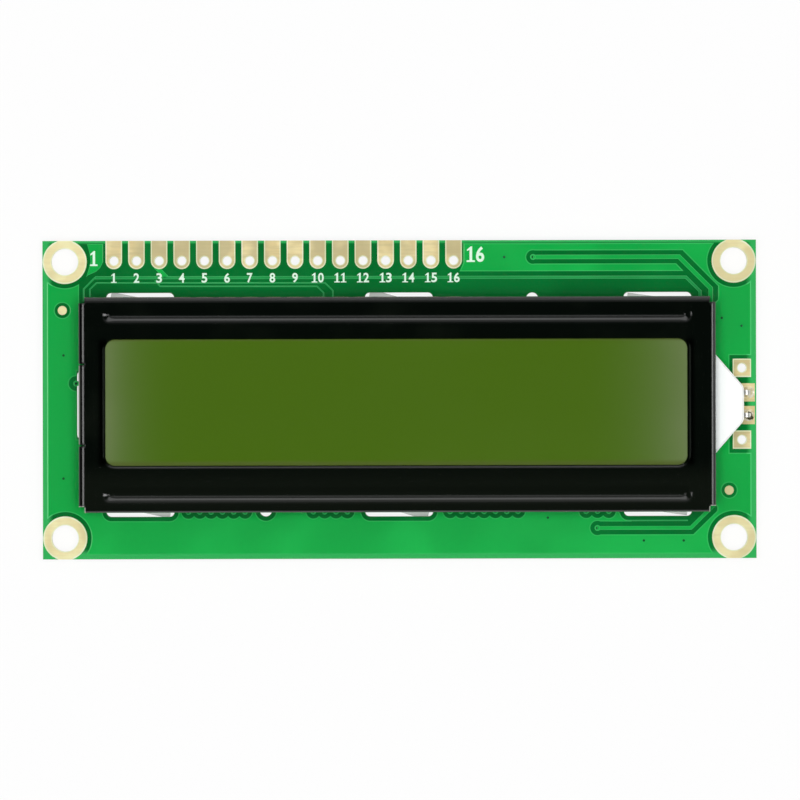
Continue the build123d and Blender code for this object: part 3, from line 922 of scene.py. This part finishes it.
def solderCones(curve, base, way):    # way is -1 on the back
    profile = [(0, base)] + [(radius, base + way * rise) for radius, rise in curve]
    profile.append((0, base + way * curve[-1][1]))
    return joined(each(spunProfile, leadPlaces, profile, sides["hole"]))


addPiece("frontJoints", solderCones(joint["front"], landTop, 1), "frontSolder", smooth=50)
backJoints = solderCones(joint["back"], 0, -1)
addPiece("backJoints", backJoints, "solder", ("anode_solder", "cathode_solder"), smooth=50)

# potted chips on the back: low smooth domes
domes = {"controller_blob": 7.0, "driver_blob": 6.25}
dome = {"height": 1.14, "fall": 2.4, "round": 0.62, "steps": 14}


def domeShape(x, y, radius):
    shares = [k / dome["steps"] for k in range(dome["steps"] + 1)]
    drops = [-dome["height"] * (1 - share ** dome["fall"]) ** dome["round"] for share in shares]
    profile = [(radius * share, drop) for share, drop in zip(shares, drops)]
    return spunProfile(x, y, profile + [(0, 0)], sides["dome"])


domeMeshes = [domeShape(*middle(name), radius) for name, radius in domes.items()]
addPiece("pottingDomes", joined(domeMeshes), "resin", tuple(domes), smooth=50)

# copper on the back: a pour with a bare field in the middle, where the tracks run
back = {
    "rise": 0.035, "shoulder": 0.09, "padClearance": 1.2,
    "locating": [(-15.0, -12.40, 1.0), (14.9, 11.3, 1.0)],
    "field": [(-33.2, 14.7), (7.3, 14.7), (7.3, 12.4), (-4.4, 12.4), (-4.4, 10.2), (24.0, 10.2),
              (24.0, -10.8), (-26.0, -10.8), (-26.0, 10.2), (-24.5, 10.2), (-24.5, 12.4), (-33.2, 12.4)],
    "upperSlots": [(-29.05, 11.45), (-0.05, 11.45), (28.95, 11.45)],
    "channel": 0.62, "channelTop": -10.5, "channelShift": 0.3, "channelPast": 1,
    "fan": (-18.4, 0.53), "levels": (12.7, 0.26, 0.2), "bend": 0.35, "turn": 7, "padGap": 0.75,
    "viaLean": 0.45, "viaBend": -9.6, "tuck": 0.3, "lines": 7, "firstLine": 3,
    "fine": 0.25, "plain": 0.34, "wide": 0.8, "chipPad": 0.8, "rail": 1.2, "railEnd": 0.63,
}
controllerX, blobY = middle("controller_blob")
driverX = middle("driver_blob")[0]
controllerR, driverR = domes["controller_blob"], domes["driver_blob"]


def domeEdge(centre, radius, x, side):    # the dome's rim above or below a place along X
    return blobY + side * math.sqrt(max(radius ** 2 - (x - centre) ** 2, 0)) - side * back["tuck"]


def headerTrack(k, x, y):
    end = back["fan"][0] + back["fan"][1] * k
    low, first, second = back["levels"]
    level = low + first * k if k < back["turn"] else low + second * (header["count"] - 1 - k)
    bend = math.copysign(back["bend"], end - x)
    return [(x, y - back["padGap"]), (x, level + abs(bend)), (x + bend, level), (end - bend, level),
            (end, level - abs(bend)), (end, domeEdge(controllerX, controllerR, end, 1))]


def viaTrack(x, y):
    centre, radius = (controllerX, controllerR) if x < 0 else (driverX, driverR)
    end = centre + (x - centre) * back["viaLean"]
    return [(x, y), (x, back["viaBend"]), (end, domeEdge(centre, radius, end, -1))]


chipRow = middle("chip_resistor_1")[1]
chipPlaces = [middle(f"chip_resistor_{k}")[0] for k in range(1, 8)]
firstChip, lastChip = chipPlaces[0], chipPlaces[-1]
chipPad, upperRail, lowerRail = back["chipPad"], chipRow + back["rail"], chipRow - back["rail"]
backRuns = [(headerTrack(k, x, y), back["fine"]) for k, (x, y) in enumerate(headerPlaces)]
backRuns += [(run, back["fine"]) for run in each(viaTrack, rowVias)]
for k in range(back["lines"]):
    y = blobY + back["firstLine"] - k
    reach = [math.sqrt(radius ** 2 - (y - blobY) ** 2) - back["tuck"] for radius in (controllerR, driverR)]
    backRuns.append(([(controllerX + reach[0], y), (driverX - reach[1], y)], back["fine"]))
for x in chipPlaces:
    backRuns += [([(x + chipPad, chipRow), (x + chipPad, lowerRail)], back["plain"]),
                 ([(x - chipPad, chipRow), (x - chipPad, upperRail)], back["plain"])]
backRuns += [
    ([(firstChip + back["railEnd"], lowerRail), (lastChip + chipPad, lowerRail), (11.5, chipRow - 2.9),
      (11.9, domeEdge(driverX, driverR, 11.9, 1))], back["plain"]),
    ([(lastChip - back["railEnd"], upperRail), (firstChip - chipPad, upperRail), (-10.4, chipRow + 0.6),
      (-9.85, domeEdge(controllerX, controllerR, -9.85, 1))], back["fine"]),
    ([(-21, chipRow), (-26.3, chipRow)], back["wide"]),
    ([(-19, chipRow), (-19, domeEdge(controllerX, controllerR, -19, 1))], back["plain"]),
    ([(19, chipRow), (19, 5.4), (17.6, domeEdge(driverX, driverR, 17.6, 1))], back["plain"]),
    ([(21, chipRow), (24.3, chipRow)], back["wide"]),
]


def viaChannel(x, y):    # from a via to the bare field
    top = back["channelTop"]
    centre, length = (y + top) / 2 - back["channelShift"], abs(y - top) + back["channelPast"]
    return box(x, centre, 2 * back["channel"], length)


def backGaps():
    gaps = [back["field"]] + each(circle, pour["ringPlaces"], pour["ringClearance"], sides["ring"])
    gaps += each(circle, headerPlaces + leadPlaces + sparePlaces, back["padClearance"])
    gaps += each(circle, back["locating"])
    gaps += each(roundedBar, pour["slots"] + back["upperSlots"], *pour["slotClearance"])
    gaps += each(viaChannel, rowVias) + each(circle, vias["alone"], back["channel"], sides["via"])
    return gaps + [box(*pour["sideSlot"])]


backPour = copperSheet(pour["outer"], backGaps(), 0, -back["rise"], back["shoulder"])
addPiece("backPour", backPour, "copper")
addPiece("backTracks", trackSheets(each(strip, backRuns), 0, -back["rise"]), "copper")
print("back copper made")

# tinned ends, solder and printed outlines of the chip parts, and rings around the domes
chipEnd = {"share": 0.22, "skin": 0.012, "lift": 0.004, "bevel": 0.03}
chipSolder = {"toe": 0.38, "heel": 0.3, "wider": 0.06, "foot": 0.05, "climb": 0.7, "narrower": 0.03,
              "lean": 0.05}
backPrint = {"thick": 0.05, "line": 0.13, "besideChip": 0.28, "pastToe": 0.2, "domeRing": (0.75, 0.5),
             "numbers": (("1", 0, -2.1), ("16", -1, 2.6)), "digit": 0.95, "height": 1.6}


def chipCap(x, y, length, width, height, side):
    skin, reach = chipEnd["skin"], length * chipEnd["share"]
    ends = (x + side * (length / 2 + skin), x + side * (length / 2 - reach))
    levels = (-height - chipEnd["lift"], 0)
    flanks = [y + edge * (width / 2 + skin) for edge in (-1, 1)]
    bm = hullSolid(product(ends, flanks, levels))
    bmesh.ops.bevel(bm, geom=bm.edges, offset=chipEnd["bevel"] * mm, segments=2, profile=0.5,
                    affect="EDGES", material=-1)
    return bm


def chipFillet(x, y, length, width, height, side):
    end, heel = x + side * length / 2, x + side * (length / 2 - chipSolder["heel"])
    flanks = [y + edge * (width / 2 + chipSolder["wider"]) for edge in (-1, 1)]
    foot = product((end + side * chipSolder["toe"], heel), flanks, (0, -chipSolder["foot"]))
    flanks = [y + edge * (width / 2 - chipSolder["narrower"]) for edge in (-1, 1)]
    leaned = [place + side * chipSolder["lean"] for place in (end, heel)]
    crest = product(leaned, flanks, [-height * chipSolder["climb"]])
    return hullSolid([*foot, *crest])


caps, fillets, printed = [], [], []
for name in nodes:
    if name.startswith("chip_"):
        x, y = middle(name)
        low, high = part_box(name)
        length, width, height = [(high[axis] - low[axis]) / mm for axis in range(3)]
        for side in (-1, 1):
            caps.append(chipCap(x, y, length, width, height, side))
            fillets.append(chipFillet(x, y, length, width, height, side))
        halfLength = length / 2 + chipSolder["toe"] + backPrint["pastToe"]
        halfWidth = width / 2 + backPrint["besideChip"]
        printed.append([box(x, y, 2 * (halfLength - inset), 2 * (halfWidth - inset))
                        for inset in (0, backPrint["line"])])
addPiece("chipEnds", joined(caps), "wire")
addPiece("chipJoints", joined(fillets), "solder")
for name, radius in domes.items():
    outer, inner = [radius + wider for wider in backPrint["domeRing"]]
    printed.append(ringOutlines(*middle(name), outer, inner, sides["outline"]))
backInk = [flatShape(outlines, -backPrint["thick"], 0) for outlines in printed]
for number, place, shift in backPrint["numbers"]:
    backInk += inkNumber(number, headerPlaces[place][0] + shift, header["row"], backPrint["digit"],
                         backPrint["height"], -back["rise"], -1)
addPiece("backInk", joined(backInk), "ink")
print("back parts made")
